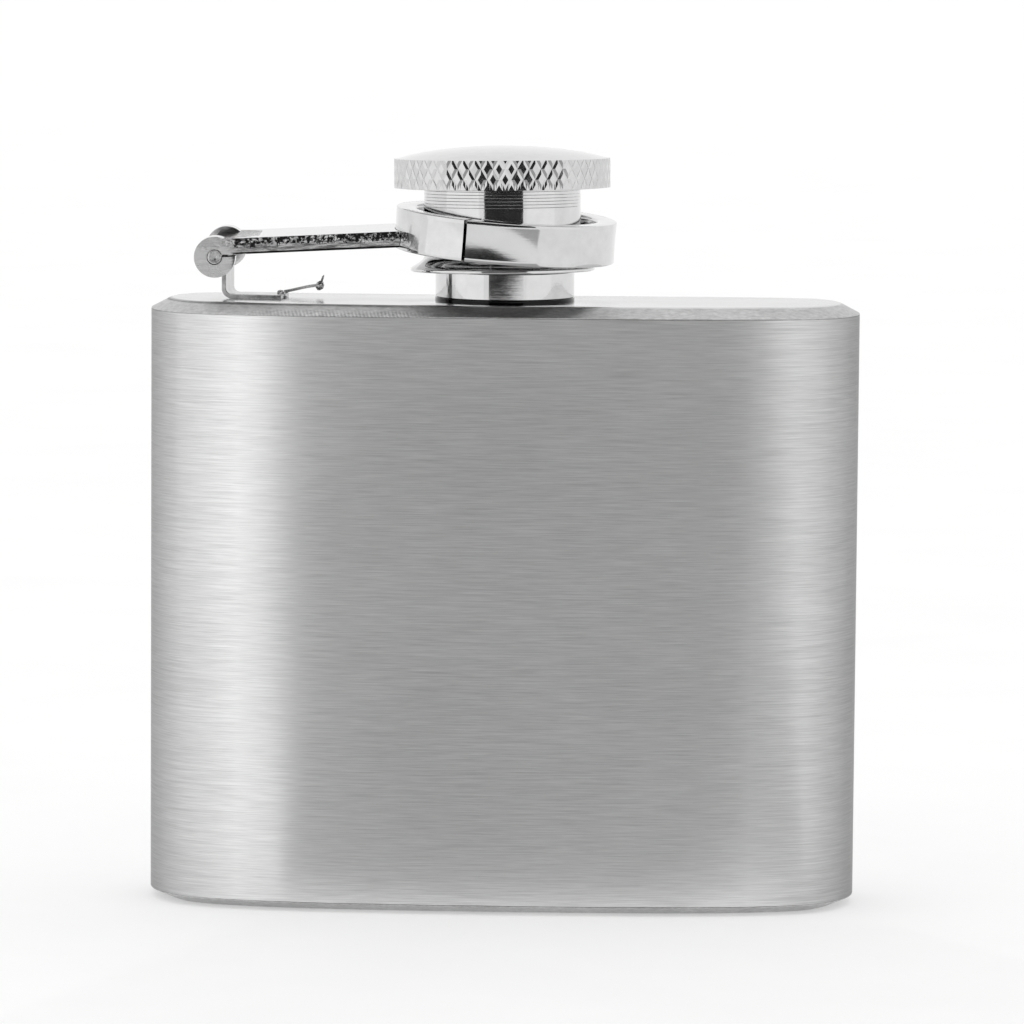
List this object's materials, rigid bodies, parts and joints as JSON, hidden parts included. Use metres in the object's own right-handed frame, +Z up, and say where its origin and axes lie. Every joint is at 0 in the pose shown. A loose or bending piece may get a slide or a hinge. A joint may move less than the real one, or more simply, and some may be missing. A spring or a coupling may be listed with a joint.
{
  "type": "hip flask",
  "caption": "Small curved hip flask in brushed steel, with a knurled screw cap held on a sleeve ring and a hinged arm.",
  "frame": {"origin": "centre of the flat base, under the axis of the neck", "axes": "+Z up along the neck, +X to the right across the broad face, +Y to the hollow back"},
  "size_m": [0.071, 0.0222, 0.0759],
  "materials": {
    "shell_steel": "fine horizontal brushing, satin",
    "plate_steel": "brushed, with a ground bevel",
    "neck_steel": "polished stainless steel",
    "hinge_steel": "polished faces with rough sheared edges",
    "ring_steel": "polished stainless steel",
    "cap_steel": "polished, knurled round the edge",
    "liner": "soft white sealing plastic"
  },
  "bodies": {
    "flask": {"body_shell": "shell_steel", "top_plate": "plate_steel", "base_plate": "plate_steel", "neck_tube": "neck_steel", "hinge_bracket": "hinge_steel"},
    "arm": {"hinge_arm": "hinge_steel", "swivel_ring": "ring_steel", "hinge_pin": "hinge_steel"},
    "cap": {"cap_head": "cap_steel", "cap_sleeve": "cap_steel", "cap_liner": "liner"}
  },
  "joints": [
    {"name": "arm_swing", "type": "hinge", "parent": "flask", "child": "arm", "pos_m": [-0.0288, 0, 0.06492], "axis": [0, -0.9988, -0.0489], "range_deg": [0, 195]},
    {"name": "cap_spin", "type": "hinge", "parent": "arm", "child": "cap", "pos_m": [-0.0002, 0, 0.0605], "axis": [-0.0122, 0.0209, 0.9997], "continuous": true}
  ]
}
